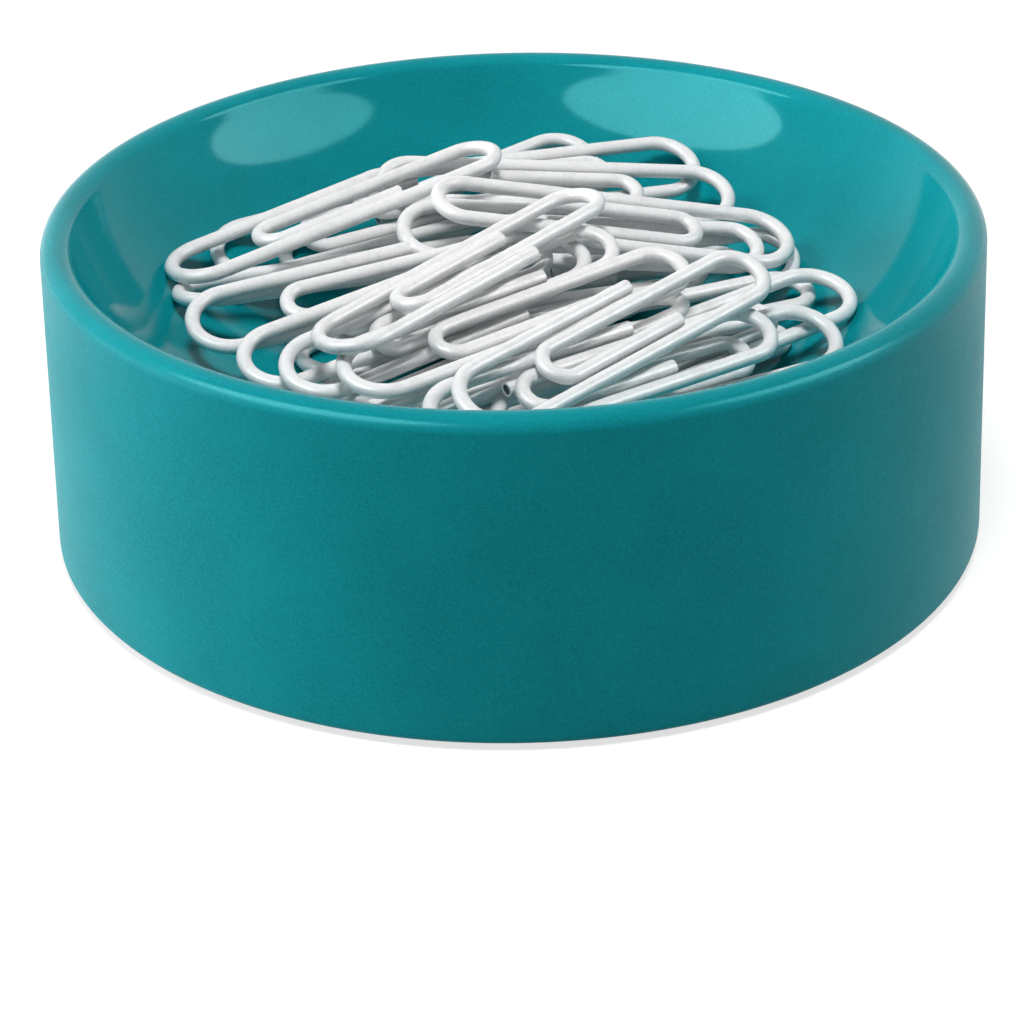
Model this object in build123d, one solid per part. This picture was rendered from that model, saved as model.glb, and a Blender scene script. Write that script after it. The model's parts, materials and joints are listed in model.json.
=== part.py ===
from build123d import *
import os
from math import cos, radians, sin, sqrt, tan

import numpy as np
from scipy.optimize import linprog
from scipy.spatial import cKDTree

# A round magnetic paper clip holder with its clips. Sizes are in millimetres.
# The origin is the middle of the bottom, on the table, and +Z is up.

# Body: one plastic moulding with the bowl, the rolled rim and the outer wall
RIM_RADIUS = 40.0           # outer radius just under the rolled rim
HEIGHT = 28.5               # table to the crest of the rim
DRAFT = 1.4                 # degrees by which the outer wall widens downwards
WALL = 2.2                  # thickness of the outer wall and of the bowl
RIM_ROLL = 1.4              # radius of the rolled rim
BOWL_SLOPE = 66.0           # steepest slope of the bowl, where it meets the rim
EDGE_ROUND = 0.6            # rounding of the bottom edges

# Bottom: a plate in a rabbet of the wall, with a rubber foot under it
FOOT_THICKNESS = 1.5
FOOT_PROUD = 0.5            # how far the foot stands below the wall
FOOT_MARGIN = 4.2           # edge of the plate that shows round the foot
PLATE_THICKNESS = 2.6
RABBET = 1.0                # how far the plate's seat is cut into the wall
PLATE_CLEARANCE = 0.15      # all round the plate and all round the foot

# Magnet under the bowl's floor, held up by a rubber washer on a ring of the plate
MAGNET_RADIUS = 14.0
MAGNET_THICKNESS = 5.0
MAGNET_CLEARANCE = 0.15
MAGNET_CHAMFER = 0.4
SOCKET_WALL = 1.6
MAGNET_PROUD = 1.0          # how far the magnet stands out of its socket
WASHER_THICKNESS = 2.0
WASHER_OVERHANG = 1.0       # how far the washer reaches past the ring on both sides
RING_HEIGHT = 1.7
RING_INSET = 3.0            # edge of the magnet to the outside of the ring
RING_WALL = 2.0

# Screws that hold the plate to bosses under the bowl
SCREW_COUNT = 3
SCREW_INSET = 9.4           # inner face of the wall to the screws' axes
SCREW_SHANK = 2.9           # diameter
SCREW_LENGTH = 7.5          # under the head
SCREW_TIP = 1.2             # length of the tapered tip
SCREW_POINT = 0.5           # radius at the end of the tip
HEAD_DIAMETER = 5.4
HEAD_HEIGHT = 1.9
HEAD_ROUND = 0.7
CROSS_WIDTH = 0.8
CROSS_SPAN = 3.0
CROSS_DEPTH = 1.0
SCREW_CLEARANCE = 0.1       # all round the shank in its hole
HEAD_CLEARANCE = 0.25       # round the head and above it
BOSS_RADIUS = 3.6
PILOT_SPARE = 1.5           # how much deeper than the screw its hole is
SEAT_RADIUS = 4.6           # raised seat on the plate
SEAT_FLOOR = 1.1            # plastic under the screw's head
RIB_WALL = 1.4              # rib from each boss to the outer wall

# Paper clips: a spiral of coated wire with three bends
WIRE = 1.3                  # diameter of the coated wire
CLIP_LENGTH = 33.0
CLIP_WIDTH = 8.1
OUTER_GAP = 0.4             # between the outer tail and the run beside it
INNER_GAP = 0.25            # between the inner tail and the run beside it
INNER_LOOP = 8.4            # end of the clip to the bend of the inner loop
OUTER_TAIL = 21.4           # end of the clip to the cut end of the outer tail
INNER_TAIL = 22.4           # end of the clip to the cut end of the inner tail
CLIP_GAP = 0.12             # least room between clips, and between clip and bowl
CLIP_TILT = 0.35            # steepest lean of a clip, as rise over run
POINT_STEP = 0.5            # spacing of the points that stand for a clip
SETTLE_ROUNDS = 10          # passes in which a clip finds its rest

# How the clips lie, from the bottom of the pile to the top: the middle of the
# clip in steps of PILE_SPACING, its heading in degrees from the wide end to the
# narrow end, and which face is up.
PILE_SPACING = 1.0
PILE = [
    (-4, 6, 25, 1),
    (8, -4, 20, 1),
    (4, 13, 5, -1),
    (2, -11, 25, 1),
    (-9, -8, 48, 1),
    (-6.5, 23, 210, 1),
    (-12, 19, 24, 1),
    (9.5, 9, 192, 1),
    (11, 0, 26, 1),
    (1.5, 22.5, 194, 1),
    (-14, 8, 16, -1),
    (4, 19.5, 182, 1),
    (6, 11, 4, 1),
    (-16, 13.5, 28, 1),
    (15.5, -6, 215, 1),
    (12.5, -12.5, 206, -1),
    (-12.5, 1.5, 20, 1),
    (9, 10, 186, 1),
    (-8.5, -3, 28, 1),
    (1, -13, 218, 1),
    (-5, -5.5, 30, -1),
    (0, -8.5, 30, 1),
    (7, -17, 32, 1),
    (8, -14.5, 42, 1),
    (-4, -3, 44, -1),
]

# Heights and radii that follow from the sizes above
PLATE_TOP = FOOT_PROUD + PLATE_THICKNESS
RING_TOP = PLATE_TOP + RING_HEIGHT
MAGNET_BOTTOM = RING_TOP + WASHER_THICKNESS
FLOOR_UNDER = MAGNET_BOTTOM + MAGNET_THICKNESS
FLOOR_TOP = FLOOR_UNDER + WALL
HEAD_SEAT = FOOT_THICKNESS + HEAD_CLEARANCE + HEAD_HEIGHT
SEAT_TOP = HEAD_SEAT + SEAT_FLOOR
RING_RADIUS = MAGNET_RADIUS - RING_INSET
RING_BORE = RING_RADIUS - RING_WALL
SHANK_HOLE = SCREW_SHANK / 2 + SCREW_CLEARANCE

# Rolled rim: its centre, and where the outer wall and the bowl leave it
ROLL_R = RIM_RADIUS - RIM_ROLL
ROLL_Z = HEIGHT - RIM_ROLL
WALL_R = ROLL_R + RIM_ROLL * cos(radians(DRAFT))
WALL_Z = ROLL_Z + RIM_ROLL * sin(radians(DRAFT))
LIP_R = ROLL_R - RIM_ROLL * sin(radians(BOWL_SLOPE))
LIP_Z = ROLL_Z + RIM_ROLL * cos(radians(BOWL_SLOPE))

# Bowl: one arc from the rim down to the flat floor
BOWL_ARC = (LIP_Z - FLOOR_TOP) / (1 - cos(radians(BOWL_SLOPE)))
FLOOR_R = LIP_R - BOWL_ARC * sin(radians(BOWL_SLOPE))
BOWL_Z = FLOOR_TOP + BOWL_ARC


def outer_radius(z):
    """Radius of the drafted outer wall at height z."""
    return WALL_R + (WALL_Z - z) * tan(radians(DRAFT))


def inner_radius(z):
    """Radius of the wall's inner face at height z."""
    return outer_radius(z) - WALL / cos(radians(DRAFT))


PLATE_SEAT = inner_radius(PLATE_TOP) + RABBET
PLATE_RADIUS = PLATE_SEAT - PLATE_CLEARANCE
FOOT_RADIUS = PLATE_RADIUS - FOOT_MARGIN
SCREW_CIRCLE = inner_radius(PLATE_TOP) - SCREW_INSET


def bowl_arc_point(radius, degrees):
    """Point on an arc about the bowl's centre, at this slope from the floor."""
    turn = radians(degrees)
    return FLOOR_R + radius * sin(turn), BOWL_Z - radius * cos(turn)


def under_bowl_meets_wall():
    """Where the bowl's underside runs into the wall's inner face."""
    lean = tan(radians(DRAFT))
    reach = inner_radius(0) - FLOOR_R
    a = 1 + lean * lean
    b = -lean * reach - BOWL_Z
    c = reach * reach + BOWL_Z * BOWL_Z - (BOWL_ARC + WALL) ** 2
    z = (-b - sqrt(b * b - a * c)) / a
    return inner_radius(z), z


def revolved(*edges):
    """Solid of revolution from a closed outline of radius and height."""
    outline = make_face([Plane.XZ * edge for edge in edges])
    return revolve(outline, Axis.Z)


def on_screw_circle(part):
    """One copy of a part at each screw."""
    return [
        Rot(0, 0, 360 / SCREW_COUNT * i) * Pos(SCREW_CIRCLE, 0) * part
        for i in range(SCREW_COUNT)
    ]


def upright(radius, bottom, top):
    """Cylinder about Z between two heights."""
    return Pos(0, 0, bottom) * extrude(Circle(radius), top - bottom)


def make_blank():
    """The body's outside with the bowl in its top, solid underneath."""
    roll_top = (ROLL_R, HEIGHT)
    foot = outer_radius(FOOT_PROUD)
    blank = revolved(
        Line((0, FOOT_PROUD), (foot, FOOT_PROUD)),
        Line((foot, FOOT_PROUD), (WALL_R, WALL_Z)),
        ThreePointArc((WALL_R, WALL_Z), roll_top, (LIP_R, LIP_Z)),
        ThreePointArc(
            (LIP_R, LIP_Z), bowl_arc_point(BOWL_ARC, BOWL_SLOPE / 2), (FLOOR_R, FLOOR_TOP)
        ),
        Line((FLOOR_R, FLOOR_TOP), (0, FLOOR_TOP)),
        Line((0, FLOOR_TOP), (0, FOOT_PROUD)),
    )
    bottom_edge = blank.edges().group_by(Axis.Z)[0]
    return fillet(bottom_edge, EDGE_ROUND)


def make_cavity():
    """The room inside the body, with the plate's rabbet at its bottom."""
    meet = under_bowl_meets_wall()
    half_way = (BOWL_Z - meet[1]) / (BOWL_ARC + WALL)
    half_turn = np.degrees(np.arccos(half_way)) / 2
    step = (inner_radius(PLATE_TOP), PLATE_TOP)
    return revolved(
        Line((0, 0), (PLATE_SEAT, 0)),
        Line((PLATE_SEAT, 0), (PLATE_SEAT, PLATE_TOP)),
        Line((PLATE_SEAT, PLATE_TOP), step),
        Line(step, meet),
        ThreePointArc(
            meet, bowl_arc_point(BOWL_ARC + WALL, half_turn), (FLOOR_R, FLOOR_UNDER)
        ),
        Line((FLOOR_R, FLOOR_UNDER), (0, FLOOR_UNDER)),
        Line((0, FLOOR_UNDER), (0, 0)),
    )


def make_dish_shell():
    """Bowl, rim and wall in one, with screw bosses and the magnet's socket."""
    socket_r = MAGNET_RADIUS + MAGNET_CLEARANCE
    socket_bottom = MAGNET_BOTTOM + MAGNET_PROUD
    socket = upright(socket_r + SOCKET_WALL, socket_bottom, HEIGHT)
    socket -= upright(socket_r, socket_bottom, FLOOR_UNDER)
    rib_length = RIM_RADIUS - SCREW_CIRCLE
    rib_height = HEIGHT - SEAT_TOP
    rib = Pos(rib_length / 2, 0, SEAT_TOP + rib_height / 2) * Box(rib_length, RIB_WALL, rib_height)
    boss = upright(BOSS_RADIUS, SEAT_TOP, HEIGHT) + rib
    pilot = upright(SHANK_HOLE, 0, HEAD_SEAT + SCREW_LENGTH + PILOT_SPARE)
    hollow = make_cavity() - socket
    for stud in on_screw_circle(boss):
        hollow -= stud
    shell = make_blank() - hollow
    for hole in on_screw_circle(pilot):
        shell -= hole
    return shell


def make_base_plate():
    """Disc that closes the bottom, with a ring for the washer and screw seats."""
    plate = upright(PLATE_RADIUS, FOOT_PROUD, PLATE_TOP)
    plate += upright(RING_RADIUS, PLATE_TOP, RING_TOP) - upright(RING_BORE, PLATE_TOP, RING_TOP)
    for seat in on_screw_circle(upright(SEAT_RADIUS, FOOT_PROUD, SEAT_TOP)):
        plate += seat
    plate -= upright(FOOT_RADIUS + PLATE_CLEARANCE, 0, FOOT_THICKNESS)
    head_room = upright(HEAD_DIAMETER / 2 + HEAD_CLEARANCE, 0, HEAD_SEAT)
    screw_room = head_room + upright(SHANK_HOLE, 0, SEAT_TOP)
    for room in on_screw_circle(screw_room):
        plate -= room
    return plate


def make_magnet():
    """Ferrite disc against the underside of the bowl's floor."""
    disc = upright(MAGNET_RADIUS, MAGNET_BOTTOM, FLOOR_UNDER)
    return chamfer(disc.edges(), MAGNET_CHAMFER)


def make_washer():
    """Rubber washer that presses the magnet up."""
    disc = upright(RING_RADIUS + WASHER_OVERHANG, RING_TOP, MAGNET_BOTTOM)
    return disc - upright(RING_BORE - WASHER_OVERHANG, RING_TOP, MAGNET_BOTTOM)


def make_foot():
    """Rubber disc that the holder stands on."""
    disc = upright(FOOT_RADIUS, 0, FOOT_THICKNESS)
    return fillet(disc.edges().group_by(Axis.Z)[0], EDGE_ROUND)


def make_screws():
    """Self-tapping pan-head screws, heads down, as one group."""
    head = upright(HEAD_DIAMETER / 2, HEAD_SEAT - HEAD_HEIGHT, HEAD_SEAT)
    head = fillet(head.edges().group_by(Axis.Z)[0], HEAD_ROUND)
    tip_top = HEAD_SEAT + SCREW_LENGTH
    shank = upright(SCREW_SHANK / 2, HEAD_SEAT, tip_top)
    shank = chamfer(shank.edges().group_by(Axis.Z)[-1], SCREW_TIP, SCREW_SHANK / 2 - SCREW_POINT)
    slot = Pos(0, 0, HEAD_SEAT - HEAD_HEIGHT) * Box(CROSS_SPAN, CROSS_WIDTH, 2 * CROSS_DEPTH)
    screw = head + shank - slot - Rot(0, 0, 90) * slot
    return Compound([copy.solid() for copy in on_screw_circle(screw)])


def clip_path():
    """Centre line of a clip, flat about its middle, its wide end at -X."""
    end = (CLIP_LENGTH - WIRE) / 2
    side = (CLIP_WIDTH - WIRE) / 2
    run = side - WIRE - OUTER_GAP
    tail = -side + WIRE + INNER_GAP
    inner_end = INNER_LOOP + WIRE / 2 - CLIP_LENGTH / 2
    narrow_bend = (run + side) / 2
    inner_bend = (run - tail) / 2
    wide_x = side - end
    narrow_x = end - narrow_bend
    inner_x = inner_end + inner_bend
    return Wire([
        Line((OUTER_TAIL - CLIP_LENGTH / 2, side), (wide_x, side)),
        ThreePointArc((wide_x, side), (-end, 0), (wide_x, -side)),
        Line((wide_x, -side), (narrow_x, -side)),
        ThreePointArc((narrow_x, -side), (end, run - narrow_bend), (narrow_x, run)),
        Line((narrow_x, run), (inner_x, run)),
        ThreePointArc((inner_x, run), (inner_end, run - inner_bend), (inner_x, tail)),
        Line((inner_x, tail), (INNER_TAIL - CLIP_LENGTH / 2, tail)),
    ])


def make_clip(path):
    """One clip, lying flat with its middle at the origin."""
    section = Plane(path @ 0, z_dir=path % 0) * Circle(WIRE / 2)
    return sweep(section, path)


def clip_points(path):
    """Points along a clip's centre line."""
    count = int(path.length / POINT_STEP)
    return np.array([tuple(path @ (i / count))[:2] for i in range(count + 1)])


def bowl_support(radius):
    """Lowest height of a wire's centre at these radii in the bowl."""
    lift = WIRE / 2 + CLIP_GAP
    arc = BOWL_ARC - lift
    edge = FLOOR_R + arc * sin(radians(BOWL_SLOPE))
    along = np.clip(radius - FLOOR_R, 0, edge - FLOOR_R)
    in_bowl = BOWL_Z - np.sqrt(arc ** 2 - along ** 2)
    past = np.clip(ROLL_R - radius, 0, ROLL_R - edge)
    on_roll = ROLL_Z + np.sqrt((RIM_ROLL + lift) ** 2 - past ** 2)
    return np.where(radius < edge, in_bowl, on_roll)


def clip_frame(slope, heading, face):
    """Directions along, across and up from a clip that lies on a slope."""
    turn = radians(heading)
    along = np.array([cos(turn), sin(turn), slope[0] * cos(turn) + slope[1] * sin(turn)])
    along /= np.linalg.norm(along)
    up = np.array([-slope[0], -slope[1], 1.0]) * face
    up /= np.linalg.norm(up)
    return along, np.cross(up, along), up


def needed_height(spots, pile):
    """Height that each spot of a clip needs above the bowl and the pile."""
    height = bowl_support(np.hypot(spots[:, 0], spots[:, 1]))
    if len(pile):
        room = WIRE + CLIP_GAP
        near = cKDTree(spots[:, :2]).sparse_distance_matrix(
            cKDTree(pile[:, :2]), room, output_type="ndarray"
        )
        over = pile[near["j"], 2] + np.sqrt(room ** 2 - near["v"] ** 2)
        np.maximum.at(height, near["i"], over)
    return height


def settle(points, place, pile):
    """Lay one clip at rest on the bowl and the pile. Gives its plane and its points."""
    x, y = PILE_SPACING * place[0], PILE_SPACING * place[1]
    heading, face = place[2:]
    slope = np.zeros(2)
    for _ in range(SETTLE_ROUNDS):
        along, across, up = clip_frame(slope, heading, face)
        offset = points @ np.array([along, across])
        weight = offset.mean(axis=0)
        need = needed_height(offset + (x, y, 0), pile)
        plane = np.column_stack([np.ones(len(offset)), offset[:, :2]])
        lean = (-CLIP_TILT, CLIP_TILT)
        rest = linprog(
            [1, weight[0], weight[1]], A_ub=-plane, b_ub=-need, bounds=[(None, None), lean, lean]
        )
        slope = (slope + rest.x[1:]) / 2
    along, across, up = clip_frame(slope, heading, face)
    offset = points @ np.array([along, across])
    need = needed_height(offset + (x, y, 0), pile)
    middle = np.array([x, y, (need - offset[:, 2]).max()])
    return Plane(tuple(middle), x_dir=tuple(along), z_dir=tuple(up)), offset + middle


def make_clips():
    """All the clips of the pile, from the bottom up."""
    path = clip_path()
    clip = make_clip(path)
    points = clip_points(path)
    pile = np.zeros((0, 3))
    clips = []
    for place in PILE:
        plane, spots = settle(points, place, pile)
        pile = np.vstack([pile, spots])
        clips.append(plane.location * clip)
    return clips


def main():
    os.makedirs("parts", exist_ok=True)
    pieces = {
        "dish_shell": make_dish_shell(),
        "base_plate": make_base_plate(),
        "magnet": make_magnet(),
        "rubber_washer": make_washer(),
        "base_screws": make_screws(),
        "rubber_foot": make_foot(),
    }
    for number, clip in enumerate(make_clips(), 1):
        pieces[f"clip_{number:02d}"] = clip
    for name, piece in pieces.items():
        export_step(piece, f"parts/{name}.step")


if __name__ == "__main__":
    main()
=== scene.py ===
import json
from math import asin, cos, hypot, pi, radians, sin, tan

import bpy
import numpy as np
from mathutils import Matrix, Vector
from mathutils.kdtree import KDTree


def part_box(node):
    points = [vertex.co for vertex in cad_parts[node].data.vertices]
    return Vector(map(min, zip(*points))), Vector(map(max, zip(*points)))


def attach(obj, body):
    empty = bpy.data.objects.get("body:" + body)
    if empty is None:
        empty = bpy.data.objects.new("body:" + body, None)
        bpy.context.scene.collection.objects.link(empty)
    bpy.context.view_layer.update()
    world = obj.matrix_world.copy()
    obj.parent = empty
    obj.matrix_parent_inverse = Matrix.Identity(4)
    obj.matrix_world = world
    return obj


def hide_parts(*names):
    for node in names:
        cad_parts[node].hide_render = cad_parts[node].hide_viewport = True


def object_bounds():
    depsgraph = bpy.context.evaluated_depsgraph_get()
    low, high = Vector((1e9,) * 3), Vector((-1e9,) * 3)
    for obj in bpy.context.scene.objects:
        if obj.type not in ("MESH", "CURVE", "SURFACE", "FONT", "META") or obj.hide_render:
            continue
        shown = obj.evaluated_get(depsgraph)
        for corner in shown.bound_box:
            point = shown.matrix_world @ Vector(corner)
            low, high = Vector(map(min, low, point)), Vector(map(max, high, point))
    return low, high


# Looks of the magnetic paper clip holder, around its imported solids. Blender's unit is the
# metre. The sizes of the holder and its clips, and of their grain, are in millimetres.

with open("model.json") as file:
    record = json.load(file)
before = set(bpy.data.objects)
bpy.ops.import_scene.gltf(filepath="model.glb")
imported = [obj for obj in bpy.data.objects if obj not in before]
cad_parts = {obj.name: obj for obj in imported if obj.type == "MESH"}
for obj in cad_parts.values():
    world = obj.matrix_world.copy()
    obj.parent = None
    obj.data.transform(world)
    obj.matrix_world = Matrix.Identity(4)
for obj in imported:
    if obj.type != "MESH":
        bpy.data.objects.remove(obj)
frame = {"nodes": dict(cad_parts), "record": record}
cad_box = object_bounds()
MM = 0.001

# Dish: outline of the moulding
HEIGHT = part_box("dish_shell")[1][2] / MM
RIM_RADIUS = 40.0
DRAFT = radians(1.4)
WALL = 2.2
RIM_ROLL = 1.4
BOWL_SLOPE = radians(66)
EDGE_ROUND = 0.6
BOTTOM = 0.5                # bottom edge of the wall above the floor
FLOOR_TOP = 14.0            # floor of the bowl
PLATE_TOP = 3.1             # seat of the base plate in the wall
PLATE_SEAT = 39.39
SOCKET_RADIUS = 14.15       # magnet's socket under the bowl
SOCKET_WALL = 1.6
SOCKET_BOTTOM = 7.8

# Dish: steps of its mesh round the axis and along each part of the outline
TURN_STEPS = 216
EDGE_STEPS = 8
WALL_STEPS = 10
ROLL_STEPS = 48
BOWL_STEPS = 44
FLOOR_STEPS = 12
UNDER_STEPS = 16
MEET_ROUNDS = 8             # passes that find where the bowl's underside meets the wall
SHARP_ANGLE = radians(35)   # edges sharper than this aren't smoothed

# Screw bosses under the bowl, each with a rib to the wall
BOSS_COUNT = 3
BOSS_CIRCLE = 28.99
BOSS_RADIUS = 3.6
BOSS_BOTTOM = 4.75
PILOT_RADIUS = 1.55
PILOT_TOP = 12.65
RIB_WALL = 1.4
ROOT_DEPTH = WALL / 2       # how deep bosses and ribs are rooted in the walls they join
RIB_LEAN = WALL / 3         # how far the rib's end in the wall leans inwards
BOSS_STEPS = 40
RIB_STEPS = 10

# Paper clips of coated wire
WIRE = 1.3
CLIP_LENGTH = 33.0
CLIP_WIDTH = 8.1
OUTER_GAP = 0.4             # between the outer tail and the run beside it
INNER_GAP = 0.25            # between the inner tail and the run beside it
INNER_LOOP = 8.4            # end of the clip to the bend of the inner loop
OUTER_TAIL = 21.4           # end of the clip to the cut end of each tail
INNER_TAIL = 22.4
WIRE_SIDES = 20
BEND_STEPS = 24
RUN_STEP = 3.0              # length of a step on a straight run
SPOT_STEP = 9               # every so many points of a packed clip tell how it lies

# Cut end of the wire: distance out from the cut and radius
COAT_END = [(-0.14, 0.65), (-0.05, 0.63), (0.0, 0.57), (0.0, 0.45)]
CORE_END = [(-0.06, 0.43), (-0.06, 0.2)]

# Colours, as linear values
TEAL = (0.0038, 0.270, 0.308, 1)
TEAL_DARK = (0.0022, 0.170, 0.194, 1)
TEAL_GLINT = (0.26, 0.95, 1.0, 1)
PLATE_TEAL = (0.002, 0.12, 0.137, 1)
RUBBER_BLACK = (0.012, 0.012, 0.012, 1)
RUBBER_DUST = (0.045, 0.045, 0.044, 1)
FERRITE_DARK = (0.018, 0.018, 0.02, 1)
FERRITE_LIGHT = (0.05, 0.05, 0.055, 1)
ZINC_DARK = (0.42, 0.43, 0.45, 1)
ZINC_LIGHT = (0.68, 0.68, 0.67, 1)
CUT_DARK = (0.10, 0.10, 0.11, 1)
CUT_LIGHT = (0.30, 0.30, 0.31, 1)
VINYL = (0.76, 0.76, 0.765, 1)
VINYL_WORN = (0.61, 0.61, 0.61, 1)

# Parts of the noise, which crowds about 0.5, that are spread over another range
FULL = (0.0, 1.0)
WIDE = (0.2, 0.8)
MIDDLE = (0.3, 0.7)
NARROW = (0.35, 0.65)
SPECKLE_PART = (0.32, 0.68)
DUST_PART = (0.4, 0.8)
MARK_PART = (0.5, 0.8)

# Finish of the dish
BOWL_ROUGH = 0.08
WALL_ROUGH = 0.46
ROUGH_CHANGE = (-0.03, 0.04)    # what the grain adds to the roughness
TEAL_IOR = 1.25
TEAL_SPECULAR = 0.42
GRAIN_SIZE = 0.2
GRAIN_DEPTH = 0.01
BOWL_GRAIN = 0.06           # share of that depth in the bowl
BOWL_SPECKLE = 0.5          # contrast of the speckles in the bowl and on the wall
WALL_SPECKLE = 0.6
SPECKLE_SHADE = (-0.5, 0.5)     # shades run from 0, the light teal, to 1, the dark one
CLOUD_SIZE = 9.0
CLOUD_SHADE = (0.38, 0.62)
DOT_SPACING = 1.4           # sparse dark dots
DOT_RADIUS = 0.11
DOT_SHADE = 0.5
POLISH_EDGE = 39.5          # radius on the rim to which the bowl's polish goes
SATIN_EDGE = 40.1           # radius on the wall from which its grain is full

# Other finishes: size and depth of the grain, range of the roughness, and what varies the colour
PLATE_GRAIN = 0.3
PLATE_DEPTH = 0.03
PLATE_ROUGH = (0.5, 0.68)
PLATE_CLOUD = 12.0
PLATE_SHADE = (0.0, 0.5)
RUBBER_GRAIN = 0.25
RUBBER_DEPTH = 0.04
RUBBER_ROUGH = (0.62, 0.85)
DUST_SIZE = 5.0
FERRITE_GRAIN = 0.15
FERRITE_DEPTH = 0.03
FERRITE_ROUGH = (0.45, 0.75)
ZINC_GRAIN = 1.2
CUT_GRAIN = 0.2
STEEL_DEPTH = 0.01
STEEL_ROUGH = (0.25, 0.5)
VINYL_GRAIN = 0.25
VINYL_SHADE = (0.0, 0.3)    # what the grain adds to the worn share
VINYL_PEEL = 0.6            # soft unevenness of the coating
PEEL_DEPTH = 0.02
VINYL_ROUGH = (0.24, 0.38)
VINYL_IOR = 1.4
MARK_SIZE = 2.5

# Camera, from the photograph: metres, degrees, and millimetres of lens and sensor
VIEW_DISTANCE = 0.28
VIEW_ELEVATION = 28.1
VIEW_ROLL = -1.23
LENS = 110.32
SENSOR = 36.0
SHIFT = (-0.00693, -0.00625)
NEAREST = 0.01

# Lamps: azimuth from the front towards +X, elevation and roll in degrees, then the
# distance, width and height in metres, the radiance, and what the lamp is for
LAMPS = {
    "key_left": (-97, 38, 0, 0.6, 0.25, 0.25, 7.4, "light"),
    "key_right": (100, 38, 0, 0.6, 0.30, 0.30, 0.9, "light"),
    "key_top": (0, 75, 0, 0.6, 0.18, 0.18, 28.5, "light"),
    "card_left": (-90, 8, 0, 0.5, 0.60, 0.11, 11.2, "light"),
    "card_right": (95, 8, 0, 0.5, 0.60, 0.11, 3.1, "light"),
    "softbox_left": (-55.5, 41.7, 14, 0.6, 0.63, 0.32, 13.5, "reflection"),
    "softbox_right": (73, 36.2, -18, 0.6, 0.49, 0.255, 10.4, "reflection"),
}
LAMP_POWER = 4.0            # watts of an area lamp per square metre and unit of radiance

# Floor, in metres, and world
FLOOR_SIZE = 6.0
FLOOR_GREY = 0.35           # what the floor sends back of the light on it
FLOOR_GLOW = (0.70, 1.0)    # what makes it white to the eye, near the object and far from it
FLOOR_REACH = (0.13, 0.5)   # distances from the object's axis between which the glow rises
WORLD_LIGHT = (0.68, 0.05)  # light from the horizon and from overhead
WORLD_RISE = (0.0, 0.3)     # rise of a direction, as a sine, from the one to the other


def node(tree, kind, inputs=None, **settings):
    """Adds a shader node. An input is a plain value or another node's output."""
    made = tree.nodes.new("ShaderNode" + kind)
    for name, value in settings.items():
        setattr(made, name, value)
    for name, value in (inputs or {}).items():
        if isinstance(value, bpy.types.NodeSocket):
            tree.links.new(value, made.inputs[name])
        else:
            made.inputs[name].default_value = value
    return made


def new_material(name):
    """An empty node material and its tree."""
    material = bpy.data.materials.new(name)
    material.use_nodes = True
    material.node_tree.nodes.clear()
    return material, material.node_tree


def surface(tree, shader):
    """Makes a shader the material's surface."""
    node(tree, "OutputMaterial", {"Surface": shader.outputs[0]})


def noise(tree, size, detail=2.0, rough=0.5):
    """Noise from 0 to 1 with features of about this size in millimetres."""
    inputs = {
        "Vector": node(tree, "TexCoord").outputs["Object"],
        "Scale": 1 / (size * MM),
        "Detail": detail,
        "Roughness": rough,
    }
    return node(tree, "TexNoise", inputs).outputs["Fac"]


def ranged(tree, value, part, spread):
    """A value in one range, as a value in another, and held to that."""
    inputs = {
        "Value": value,
        "From Min": part[0],
        "From Max": part[1],
        "To Min": spread[0],
        "To Max": spread[1],
    }
    return node(tree, "MapRange", inputs).outputs["Result"]


def mixed(tree, share, first, second):
    """Colour between two others."""
    made = node(tree, "Mix", {"Factor": share}, data_type="RGBA")
    colours = [socket for socket in made.inputs if socket.type == "RGBA"]
    colours[0].default_value = first
    colours[1].default_value = second
    return next(socket for socket in made.outputs if socket.type == "RGBA")


def together(tree, operation, first, second):
    """Sum, product or the like of two values."""
    return node(tree, "Math", {0: first, 1: second}, operation=operation).outputs["Value"]


def length(tree, vector):
    """Length of a vector."""
    return node(tree, "VectorMath", {0: vector}, operation="LENGTH").outputs["Value"]


def bump(tree, height, depth):
    """Normal of a relief this deep, in millimetres."""
    return node(tree, "Bump", {"Height": height, "Distance": depth * MM}).outputs["Normal"]


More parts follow.
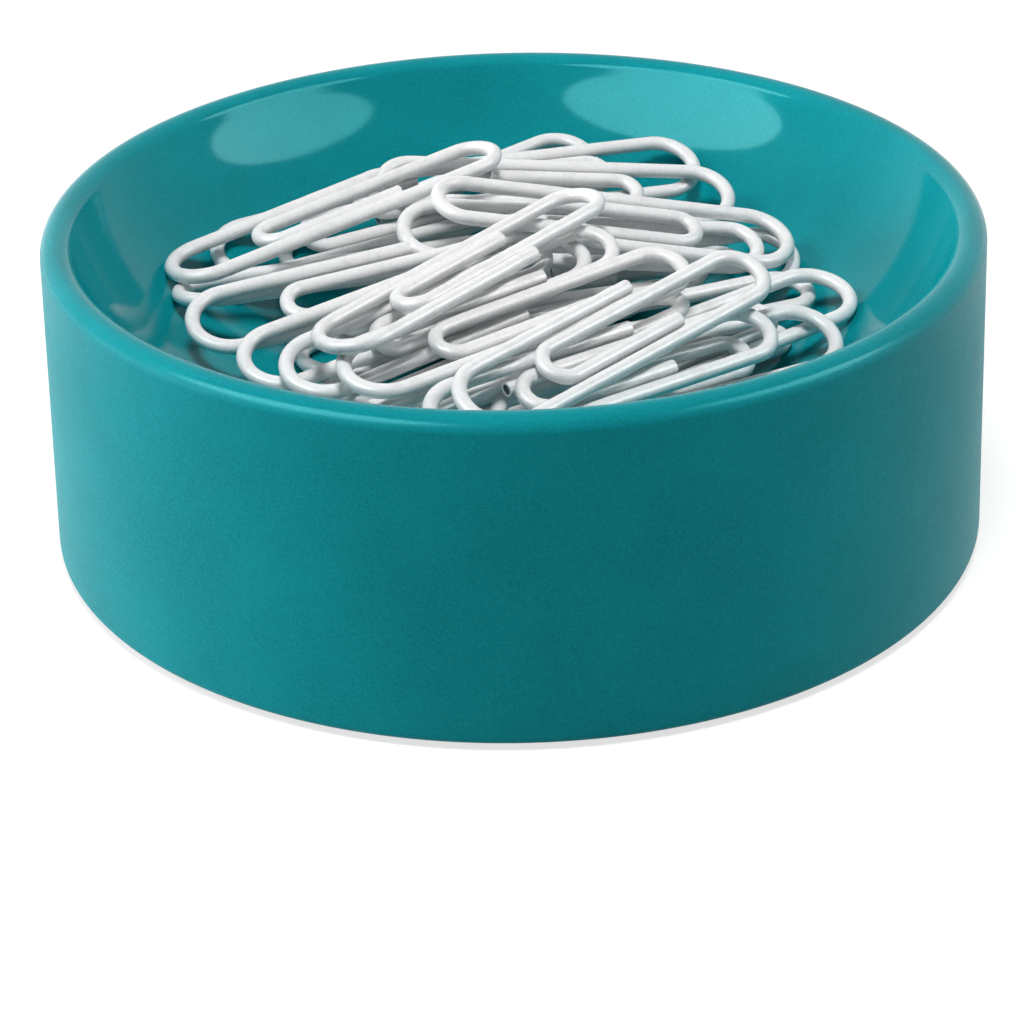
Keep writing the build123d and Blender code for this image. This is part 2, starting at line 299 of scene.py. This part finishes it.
def teal_plastic():
    """Teal moulded plastic with fine speckles, polished in the bowl and satin on the wall."""
    material, tree = new_material("teal_plastic")
    place = node(tree, "TexCoord").outputs["Object"]
    flat = node(tree, "VectorMath", {0: place, 1: (1, 1, 0)}, operation="MULTIPLY")
    radius = length(tree, flat.outputs["Vector"])
    satin = ranged(tree, radius, (POLISH_EDGE * MM, SATIN_EDGE * MM), FULL)
    grain = noise(tree, GRAIN_SIZE, detail=3)
    cloud = ranged(tree, noise(tree, CLOUD_SIZE), NARROW, CLOUD_SHADE)
    speckle = ranged(tree, grain, SPECKLE_PART, SPECKLE_SHADE)
    contrast = ranged(tree, satin, FULL, (BOWL_SPECKLE, WALL_SPECKLE))
    cells = node(tree, "TexVoronoi", {"Vector": place, "Scale": 1 / (DOT_SPACING * MM)})
    reach = DOT_RADIUS / DOT_SPACING
    dots = ranged(tree, cells.outputs["Distance"], (reach / 2, reach), (DOT_SHADE, 0))
    shade = together(tree, "ADD", together(tree, "MULTIPLY", speckle, contrast), cloud)
    shade = together(tree, "ADD", shade, dots)
    finish = ranged(tree, satin, FULL, (BOWL_ROUGH, WALL_ROUGH))
    change = ranged(tree, grain, MIDDLE, ROUGH_CHANGE)
    depth = ranged(tree, satin, FULL, (BOWL_GRAIN, 1))
    shader = node(
        tree,
        "BsdfPrincipled",
        {
            "Base Color": mixed(tree, shade, TEAL, TEAL_DARK),
            "Roughness": together(tree, "ADD", finish, change),
            "IOR": TEAL_IOR,
            "Specular IOR Level": TEAL_SPECULAR,
            "Specular Tint": TEAL_GLINT,
            "Normal": bump(tree, together(tree, "MULTIPLY", grain, depth), GRAIN_DEPTH),
        },
    )
    surface(tree, shader)
    return material


def matte_plastic():
    """Plain moulded plastic of the base plate, with a spark-eroded grain."""
    material, tree = new_material("matte_plastic")
    grain = noise(tree, PLATE_GRAIN, detail=3)
    cloud = ranged(tree, noise(tree, PLATE_CLOUD), MIDDLE, PLATE_SHADE)
    shader = node(
        tree,
        "BsdfPrincipled",
        {
            "Base Color": mixed(tree, cloud, PLATE_TEAL, TEAL_DARK),
            "Roughness": ranged(tree, grain, FULL, PLATE_ROUGH),
            "Normal": bump(tree, grain, PLATE_DEPTH),
        },
    )
    surface(tree, shader)
    return material


def rubber():
    """Black rubber with a fine grain and a little dust."""
    material, tree = new_material("rubber")
    grain = noise(tree, RUBBER_GRAIN, detail=3)
    dust = noise(tree, DUST_SIZE, detail=5, rough=0.65)
    share = ranged(tree, dust, DUST_PART, FULL)
    shader = node(
        tree,
        "BsdfPrincipled",
        {
            "Base Color": mixed(tree, share, RUBBER_BLACK, RUBBER_DUST),
            "Roughness": ranged(tree, dust, WIDE, RUBBER_ROUGH),
            "Normal": bump(tree, grain, RUBBER_DEPTH),
        },
    )
    surface(tree, shader)
    return material


def ferrite():
    """Sintered ferrite, dark and finely grained."""
    material, tree = new_material("ferrite")
    grain = noise(tree, FERRITE_GRAIN, detail=4, rough=0.7)
    shader = node(
        tree,
        "BsdfPrincipled",
        {
            "Base Color": mixed(tree, grain, FERRITE_DARK, FERRITE_LIGHT),
            "Roughness": ranged(tree, grain, FULL, FERRITE_ROUGH),
            "Normal": bump(tree, grain, FERRITE_DEPTH),
        },
    )
    surface(tree, shader)
    return material


def steel(name, dark, light, grain_size):
    """Bare or zinc plated steel."""
    material, tree = new_material(name)
    grain = noise(tree, grain_size, detail=4, rough=0.6)
    shader = node(
        tree,
        "BsdfPrincipled",
        {
            "Base Color": mixed(tree, grain, dark, light),
            "Metallic": 1.0,
            "Roughness": ranged(tree, grain, WIDE, STEEL_ROUGH),
            "Normal": bump(tree, grain, STEEL_DEPTH),
        },
    )
    surface(tree, shader)
    return material


def white_vinyl():
    """Smooth white coating of the wire, slightly uneven and with handling marks."""
    material, tree = new_material("white_vinyl")
    peel = noise(tree, VINYL_PEEL)
    marks = noise(tree, MARK_SIZE, detail=5, rough=0.7)
    grain = ranged(tree, noise(tree, VINYL_GRAIN, detail=3), NARROW, VINYL_SHADE)
    worn = together(tree, "ADD", ranged(tree, marks, MARK_PART, FULL), grain)
    shader = node(
        tree,
        "BsdfPrincipled",
        {
            "Base Color": mixed(tree, worn, VINYL, VINYL_WORN),
            "Roughness": ranged(tree, marks, MIDDLE, VINYL_ROUGH),
            "IOR": VINYL_IOR,
            "Normal": bump(tree, peel, PEEL_DEPTH),
        },
    )
    surface(tree, shader)
    return material


def new_object(name, data):
    """An object in the scene."""
    made = bpy.data.objects.new(name, data)
    bpy.context.scene.collection.objects.link(made)
    return made


def new_piece(name, points, faces, materials, finishes=None):
    """A smooth mesh object with sharp corners, from points in millimetres."""
    mesh = bpy.data.meshes.new(name)
    mesh.from_pydata((np.array(points) * MM).tolist(), [], faces)
    for material in materials:
        mesh.materials.append(material)
    if finishes:
        mesh.polygons.foreach_set("material_index", finishes)
    mesh.shade_smooth()
    mesh.set_sharp_from_angle(angle=SHARP_ANGLE)
    return new_object(name, mesh)


# Outline of the dish, as radius and height: the centre of the rolled rim, where the wall and
# the bowl leave it, and the radius and centre of the bowl's arc
ROLL = (RIM_RADIUS - RIM_ROLL, HEIGHT - RIM_ROLL)
WALL_EDGE = (ROLL[0] + RIM_ROLL * cos(DRAFT), ROLL[1] + RIM_ROLL * sin(DRAFT))
LIP = (ROLL[0] - RIM_ROLL * sin(BOWL_SLOPE), ROLL[1] + RIM_ROLL * cos(BOWL_SLOPE))
BOWL_ARC = (LIP[1] - FLOOR_TOP) / (1 - cos(BOWL_SLOPE))
BOWL = (LIP[0] - BOWL_ARC * sin(BOWL_SLOPE), FLOOR_TOP + BOWL_ARC)


def outer_radius(z):
    """Radius of the drafted outer wall at height z."""
    return WALL_EDGE[0] + (WALL_EDGE[1] - z) * tan(DRAFT)


def inner_radius(z):
    """Radius of the wall's inner face at height z."""
    return outer_radius(z) - WALL / cos(DRAFT)


def under_bowl(radius, depth):
    """Height at this radius of a surface that lies this deep under the bowl's."""
    along = max(0.0, radius - BOWL[0]) / (BOWL_ARC + depth)
    return BOWL[1] - (BOWL_ARC + depth) * cos(asin(along))


def arc(centre, radius, start, stop, steps):
    """Points of radius and height on an arc between two angles from the outward radius."""
    angles = [start + (stop - start) * i / steps for i in range(steps + 1)]
    return [(centre[0] + radius * cos(a), centre[1] + radius * sin(a)) for a in angles]


def between(start, stop, steps):
    """Points that divide a straight line, without its ends."""
    shares = [i / steps for i in range(1, steps)]
    return [tuple(a + (b - a) * share for a, b in zip(start, stop)) for share in shares]


def outside_outline():
    """The bottom edge and the wall, from the plate's seat up to the rim."""
    edge_height = BOTTOM + EDGE_ROUND
    edge = (outer_radius(edge_height) - EDGE_ROUND / cos(DRAFT), edge_height)
    line = [(PLATE_SEAT, BOTTOM)]
    line += arc(edge, EDGE_ROUND, -pi / 2, DRAFT, EDGE_STEPS)
    line += between(line[-1], WALL_EDGE, WALL_STEPS)
    return line


def top_outline():
    """The rim and the bowl, to the middle of its floor."""
    line = arc(ROLL, RIM_ROLL, DRAFT, pi / 2 + BOWL_SLOPE, ROLL_STEPS)
    line += arc(BOWL, BOWL_ARC, BOWL_SLOPE - pi / 2, -pi / 2, BOWL_STEPS)[1:]
    line += between(line[-1], (0, FLOOR_TOP), FLOOR_STEPS)
    return line + [(0, FLOOR_TOP)]


def inside_outline():
    """The hollow from the middle over the magnet's socket down to the plate's seat."""
    floor_under = FLOOR_TOP - WALL
    meet = inner_radius(HEIGHT)
    for _ in range(MEET_ROUNDS):
        meet = inner_radius(under_bowl(meet, WALL))
    meet_turn = asin((meet - BOWL[0]) / (BOWL_ARC + WALL))
    line = [
        (0, floor_under),
        (SOCKET_RADIUS, floor_under),
        (SOCKET_RADIUS, SOCKET_BOTTOM),
        (SOCKET_RADIUS + SOCKET_WALL, SOCKET_BOTTOM),
        (SOCKET_RADIUS + SOCKET_WALL, floor_under),
    ]
    line += arc(BOWL, BOWL_ARC + WALL, -pi / 2, meet_turn - pi / 2, UNDER_STEPS)
    line += [(inner_radius(PLATE_TOP), PLATE_TOP), (PLATE_SEAT, PLATE_TOP)]
    return line


def turned(outline):
    """Points and faces of a closed outline turned about Z."""
    points = []
    rings = []
    for radius, height in outline:
        count = 1 if radius == 0 else TURN_STEPS
        rings.append([len(points) + k % count for k in range(TURN_STEPS + 1)])
        turns = [2 * pi * (k + 0.5) / TURN_STEPS for k in range(count)]
        points += [(radius * cos(turn), radius * sin(turn), height) for turn in turns]
    faces = []
    for i in range(len(outline)):
        ring, following = rings[i], rings[(i + 1) % len(outline)]
        for k in range(TURN_STEPS):
            corners = (ring[k], ring[k + 1], following[k + 1], following[k])
            corners = tuple(dict.fromkeys(corners))
            if len(corners) > 2:
                faces.append(corners)
    return points, faces


def boss():
    """One screw boss with its pilot hole, at its place on +X, up into the bowl's wall."""
    points = []
    for radius, is_outside in ((PILOT_RADIUS, False), (BOSS_RADIUS, True)):
        for is_top in (False, True):
            for k in range(BOSS_STEPS):
                x = BOSS_CIRCLE + radius * cos(2 * pi * k / BOSS_STEPS)
                y = radius * sin(2 * pi * k / BOSS_STEPS)
                top = under_bowl(hypot(x, y), ROOT_DEPTH) if is_outside else PILOT_TOP
                points.append((x, y, top if is_top else BOSS_BOTTOM))
    steps = range(BOSS_STEPS)
    faces = []
    for low, high in ((1, 0), (0, 2), (2, 3)):
        low_ring, high_ring = low * BOSS_STEPS, high * BOSS_STEPS
        for k in steps:
            a, b = k, (k + 1) % BOSS_STEPS
            faces.append((low_ring + a, low_ring + b, high_ring + b, high_ring + a))
    faces.append(tuple(BOSS_STEPS + k for k in reversed(steps)))
    faces.append(tuple(3 * BOSS_STEPS + k for k in steps))
    return points, faces


def rib():
    """One rib from the boss on +X to the wall, up into the bowl's wall."""
    start = BOSS_CIRCLE + (BOSS_RADIUS + PILOT_RADIUS) / 2
    stop = inner_radius(BOSS_BOTTOM) + ROOT_DEPTH
    radii = [start + (stop - WALL - start) * i / RIB_STEPS for i in range(RIB_STEPS + 1)]
    outline = [(start, BOSS_BOTTOM), (stop, BOSS_BOTTOM)]
    outline.append((stop - RIB_LEAN, under_bowl(radii[-1], ROOT_DEPTH)))
    outline += [(radius, under_bowl(radius, ROOT_DEPTH)) for radius in reversed(radii)]
    count = len(outline)
    points = [(x, side * RIB_WALL / 2, z) for side in (-1, 1) for x, z in outline]
    faces = [tuple(range(count)), tuple(reversed(range(count, 2 * count)))]
    faces += [(i, i + count, (i + 1) % count + count, (i + 1) % count) for i in range(count)]
    return points, faces


def make_dish():
    """The teal moulding: polished bowl and rim, satin wall, and the fixings underneath."""
    points, faces = turned(outside_outline() + top_outline() + inside_outline())
    for part_points, part_faces in (boss(), rib()):
        for i in range(BOSS_COUNT):
            turn = Matrix.Rotation(2 * pi * i / BOSS_COUNT, 3, "Z")
            start = len(points)
            points += [tuple(turn @ Vector(point)) for point in part_points]
            faces += [tuple(start + corner for corner in face) for face in part_faces]
    piece = new_piece("teal_dish", points, faces, [teal_plastic()])
    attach(piece, "holder")
    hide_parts("dish_shell")


def straight(start, stop):
    """Points of a straight run with their directions, without the run's end."""
    start, stop = np.array(start), np.array(stop)
    span = np.linalg.norm(stop - start)
    heading = (stop - start) / span
    count = max(1, round(span / RUN_STEP))
    return [(start + heading * span * i / count, heading) for i in range(count)]


def half_turn(centre, radius, start):
    """Points of a half turn to the left from an angle, with directions, without the end."""
    made = []
    for i in range(BEND_STEPS):
        angle = start + pi * i / BEND_STEPS
        out = np.array([cos(angle), sin(angle)])
        made.append((np.array(centre) + radius * out, np.array([-out[1], out[0]])))
    return made


def clip_line():
    """Centre line of a clip, flat about its middle, with its wide end at -X."""
    end = (CLIP_LENGTH - WIRE) / 2
    side = (CLIP_WIDTH - WIRE) / 2
    run = side - WIRE - OUTER_GAP
    tail = -side + WIRE + INNER_GAP
    narrow_bend = (run + side) / 2
    inner_bend = (run - tail) / 2
    wide_x = side - end
    narrow_x = end - narrow_bend
    inner_x = INNER_LOOP + WIRE / 2 - CLIP_LENGTH / 2 + inner_bend
    outer_cut = (OUTER_TAIL - CLIP_LENGTH / 2, side)
    inner_cut = (INNER_TAIL - CLIP_LENGTH / 2, tail)
    line = straight(outer_cut, (wide_x, side))
    line += half_turn((wide_x, 0), side, pi / 2)
    line += straight((wide_x, -side), (narrow_x, -side))
    line += half_turn((narrow_x, run - narrow_bend), narrow_bend, -pi / 2)
    line += straight((narrow_x, run), (inner_x, run))
    line += half_turn((inner_x, run - inner_bend), inner_bend, pi / 2)
    line += straight((inner_x, tail), inner_cut)
    line.append((np.array(inner_cut), np.array([1.0, 0.0])))
    return line


def ring(point, heading, radius):
    """One ring of the wire's surface about a point of the centre line."""
    across = np.array([-heading[1], heading[0], 0.0])
    up = np.array([0.0, 0.0, 1.0])
    middle = np.array([point[0], point[1], 0.0])
    turns = [2 * pi * i / WIRE_SIDES for i in range(WIRE_SIDES)]
    return [middle + radius * (cos(turn) * across + sin(turn) * up) for turn in turns]


def clip_tube(line):
    """Points, faces and each face's material of a clip with cut ends."""
    profile = COAT_END + CORE_END
    first, first_heading = line[0]
    last, last_heading = line[-1]
    rings = [ring(first - first_heading * out, first_heading, r) for out, r in reversed(profile)]
    rings += [ring(point, heading, WIRE / 2) for point, heading in line[1:-1]]
    rings += [ring(last + last_heading * out, last_heading, r) for out, r in profile]
    points = [point for one in rings for point in one]
    count = len(rings)
    faces = []
    finishes = []
    for i in range(count - 1):
        is_core = min(i, count - 2 - i) < len(CORE_END)
        for k in range(WIRE_SIDES):
            a, b = i * WIRE_SIDES + k, i * WIRE_SIDES + (k + 1) % WIRE_SIDES
            faces.append((a, b, b + WIRE_SIDES, a + WIRE_SIDES))
            finishes.append(int(is_core))
    faces.append(tuple(reversed(range(WIRE_SIDES))))
    faces.append(tuple((count - 1) * WIRE_SIDES + k for k in range(WIRE_SIDES)))
    return points, faces, finishes + [1, 1]


def middle_and_axes(mesh):
    """Centre of a closed mesh's volume and its main axes, as columns."""
    mesh.calc_loop_triangles()
    points = np.array([vertex.co for vertex in mesh.vertices])
    corners = points[np.array([triangle.vertices for triangle in mesh.loop_triangles])]
    # Each triangle and the origin make a tetrahedron, and the sums run over these
    a, b, c = corners[:, 0], corners[:, 1], corners[:, 2]
    share = np.einsum("ij,ij->i", a, np.cross(b, c))
    total = a + b + c
    middle = (share[:, None] * total).sum(0) / (4 * share.sum())
    spread = sum(np.einsum("i,ij,ik->jk", share, p, p) for p in (a, b, c, total))
    spread = spread / (20 * share.sum())
    axes = np.linalg.eigh(spread - np.outer(middle, middle))[1]
    return middle, axes * np.array([1, 1, np.linalg.det(axes)])


def place_like(mesh, line, solid):
    """Turn and move that bring a clip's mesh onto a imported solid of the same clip."""
    middle, axes = middle_and_axes(mesh)
    goal, goal_axes = middle_and_axes(solid)
    spots = [vertex.co for vertex in list(solid.vertices)[::SPOT_STEP]]
    tries = []
    for signs in ((1, 1, 1), (1, -1, -1), (-1, 1, -1), (-1, -1, 1)):
        turn = goal_axes @ np.diag(signs) @ axes.T
        shift = goal - turn @ middle
        tree = KDTree(len(line))
        for i, (point, _) in enumerate(line):
            tree.insert(turn @ np.array([*point, 0.0]) * MM + shift, i)
        tree.balance()
        miss = sum(tree.find(spot)[2] for spot in spots)
        tries.append((miss, turn, shift))
    _, turn, shift = min(tries, key=lambda found: found[0])
    return Matrix.Translation(shift) @ Matrix(turn.tolist()).to_4x4()


def make_clips():
    """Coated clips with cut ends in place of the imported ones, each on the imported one's body."""
    line = clip_line()
    points, faces, finishes = clip_tube(line)
    materials = [white_vinyl(), steel("cut_wire", CUT_DARK, CUT_LIGHT, CUT_GRAIN)]
    for body, members in frame["record"]["behaviour"]["bodies"].items():
        for name in members:
            if name.startswith("clip_"):
                piece = new_piece("coated_" + name, points, faces, materials, finishes)
                piece.data.transform(place_like(piece.data, line, frame["nodes"][name].data))
                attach(piece, body)
                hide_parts(name)


def dress_solids():
    """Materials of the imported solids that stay."""
    black_rubber = rubber()
    finishes = {
        "base_plate": matte_plastic(),
        "rubber_foot": black_rubber,
        "rubber_washer": black_rubber,
        "magnet": ferrite(),
        "base_screws": steel("zinc_plate", ZINC_DARK, ZINC_LIGHT, ZINC_GRAIN),
    }
    for name, material in finishes.items():
        mesh = frame["nodes"][name].data
        mesh.materials.clear()
        mesh.materials.append(material)


def background_seen(tree):
    """1 for rays that show the background, also mirrored or through glass, and 0 for light."""
    path = node(tree, "LightPath").outputs
    seen = together(tree, "MAXIMUM", path["Is Camera Ray"], path["Is Glossy Ray"])
    return together(tree, "MAXIMUM", seen, path["Is Transmission Ray"])


def make_floor():
    """White floor that keeps the object's shadow."""
    half = FLOOR_SIZE / 2
    bottom = cad_box[0][2]
    corners = [(x * half, y * half, bottom) for x, y in ((-1, -1), (1, -1), (1, 1), (-1, 1))]
    mesh = bpy.data.meshes.new("floor")
    mesh.from_pydata(corners, [], [(0, 1, 2, 3)])
    material, tree = new_material("floor_white")
    paper = node(tree, "BsdfDiffuse", {"Color": (FLOOR_GREY, FLOOR_GREY, FLOOR_GREY, 1)})
    distance = length(tree, node(tree, "TexCoord").outputs["Object"])
    level = ranged(tree, distance, FLOOR_REACH, FLOOR_GLOW)
    strength = together(tree, "MULTIPLY", background_seen(tree), level)
    glow = node(tree, "Emission", {"Strength": strength})
    surface(tree, node(tree, "AddShader", {0: paper.outputs[0], 1: glow.outputs[0]}))
    mesh.materials.append(material)
    floor = new_object("floor", mesh)


def make_world():
    """Light from all round, less of it from overhead, and white where it is seen."""
    world = bpy.data.worlds.new("studio")
    bpy.context.scene.world = world
    world.use_nodes = True
    tree = world.node_tree
    tree.nodes.clear()
    direction = node(tree, "TexCoord").outputs["Generated"]
    rise = node(tree, "SeparateXYZ", {"Vector": direction}).outputs["Z"]
    level = ranged(tree, rise, WORLD_RISE, WORLD_LIGHT)
    strength = together(tree, "MAXIMUM", level, background_seen(tree))
    shade = node(tree, "Background", {"Color": (1, 1, 1, 1), "Strength": strength})
    node(tree, "OutputWorld", {"Surface": shade.outputs[0]})


def make_lamps():
    """Lamps that face the dish, some of them only to be seen in its polish."""
    for name, (azimuth, elevation, roll, distance, width, height, radiance, use) in LAMPS.items():
        light = bpy.data.lights.new(name, "AREA")
        light.shape = "ELLIPSE"
        light.size = width
        light.size_y = height
        light.energy = LAMP_POWER * pi / 4 * width * height * radiance
        lamp = new_object(name, light)
        lamp.visible_diffuse = use == "light"
        lamp.visible_glossy = use == "reflection"
        side, rise = radians(azimuth), radians(elevation)
        toward = Vector((sin(side) * cos(rise), -cos(side) * cos(rise), sin(rise)))
        facing = toward.to_track_quat("Z", "Y").to_matrix().to_4x4()
        turn = facing @ Matrix.Rotation(radians(roll), 4, "Z")
        lamp.matrix_world = Matrix.Translation(toward * distance) @ turn


def make_camera():
    """Camera at the photograph's view."""
    tilt, roll = radians(VIEW_ELEVATION), radians(VIEW_ROLL)
    ahead = Vector((0, cos(tilt), -sin(tilt)))
    level_right = Vector((1, 0, 0))
    level_up = Vector((0, sin(tilt), cos(tilt)))
    right = cos(roll) * level_right + sin(roll) * level_up
    up = cos(roll) * level_up - sin(roll) * level_right
    lens = bpy.data.cameras.new("camera")
    lens.lens = LENS
    lens.sensor_width = SENSOR
    lens.shift_x, lens.shift_y = SHIFT
    lens.clip_start = NEAREST
    camera = new_object("camera", lens)
    turn = Matrix((right, up, -ahead)).transposed().to_4x4()
    camera.matrix_world = Matrix.Translation(-ahead * VIEW_DISTANCE) @ turn
    bpy.context.scene.camera = camera


dress_solids()
make_dish()
make_clips()
make_floor()
make_world()
make_lamps()
make_camera()
bpy.context.scene.view_settings.view_transform = "Standard"
